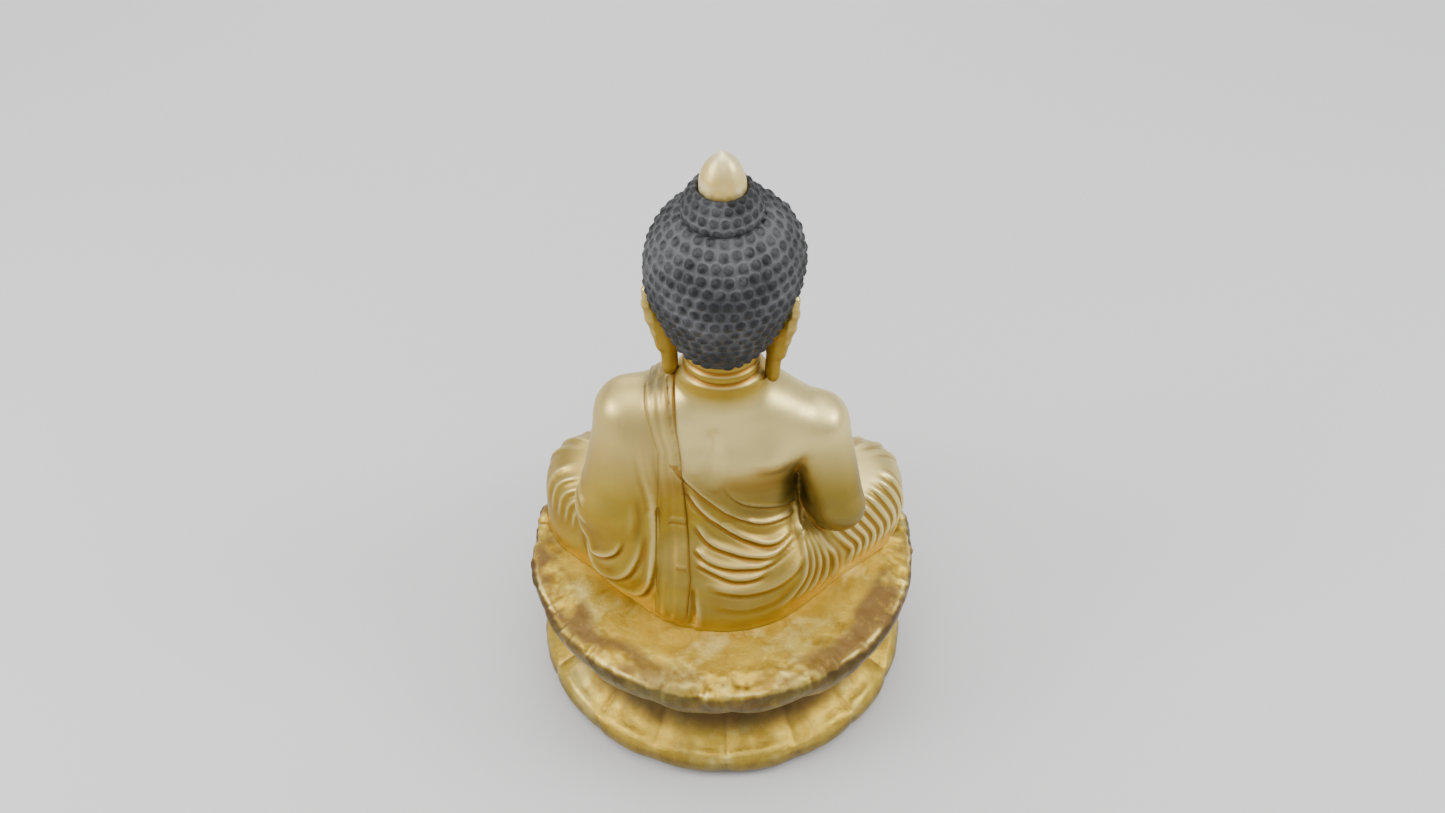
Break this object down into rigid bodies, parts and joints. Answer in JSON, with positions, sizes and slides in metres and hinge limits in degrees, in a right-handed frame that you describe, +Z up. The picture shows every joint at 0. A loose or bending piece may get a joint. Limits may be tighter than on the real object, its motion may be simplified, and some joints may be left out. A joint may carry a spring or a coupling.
{
  "type": "buddha statue",
  "caption": "Seated gilt buddha in meditation on a double lotus pedestal, robe over one shoulder, curled dark hair, and a bud finial on the top knot.",
  "frame": {"origin": "on the floor under the middle of the pedestal", "axes": "+Z up; -Y is the way the figure faces; +X is towards the figure's own left"},
  "size_m": [0.264, 0.264, 0.42],
  "materials": {
    "leaf_gold": "carved, rough gold leaf, worn to brown lacquer",
    "robe_gold": "carved, satin gold leaf, ochre in the creases",
    "skin_gold": "carved, burnished gold leaf",
    "finial_gold": "turned, burnished gold leaf",
    "hair_paint": "carved curls, matt blue-grey mineral paint",
    "bare_wood": "planed, unfinished",
    "iron": "forged, dull",
    "steel": "plain zinc",
    "felt": "pressed felt"
  },
  "bodies": {
    "pedestal": {"foot_pads": "felt", "base_plate": "bare_wood", "base_screws": "steel", "lower_lotus": "leaf_gold", "waist_ring": "leaf_gold", "upper_lotus": "leaf_gold", "seat_board": "leaf_gold", "seat_pegs": "bare_wood", "tie_bolt": "steel", "tie_washer": "steel", "tie_nut": "steel"},
    "figure": {"figure_base_board": "bare_wood", "torso_front": "robe_gold", "torso_back": "robe_gold", "left_hip": "robe_gold", "right_hip": "robe_gold", "leg_block": "robe_gold", "skirt_hem": "robe_gold", "left_upper_arm": "robe_gold", "right_upper_arm": "skin_gold", "left_forearm": "robe_gold", "right_forearm": "skin_gold", "left_hand": "skin_gold", "right_hand": "skin_gold", "right_foot": "skin_gold", "shawl": "robe_gold", "head_front": "skin_gold", "head_back": "skin_gold", "left_ear": "skin_gold", "right_ear": "skin_gold", "hair_cap": "hair_paint", "ushnisha": "hair_paint", "urna": "skin_gold", "neck_dowel": "bare_wood", "shoulder_dowels": "bare_wood", "torso_dowels": "bare_wood", "hip_dowels": "bare_wood", "leg_dowels": "bare_wood", "torso_clamps": "iron"},
    "finial": {"finial": "finial_gold"}
  },
  "joints": [
    {"name": "figure_lift", "type": "slide", "parent": "pedestal", "child": "figure", "axis": [0, 0, 1], "range_m": [0, 0.06]},
    {"name": "finial_lift", "type": "slide", "parent": "figure", "child": "finial", "axis": [0, 0, 1], "range_m": [0, 0.03]}
  ]
}
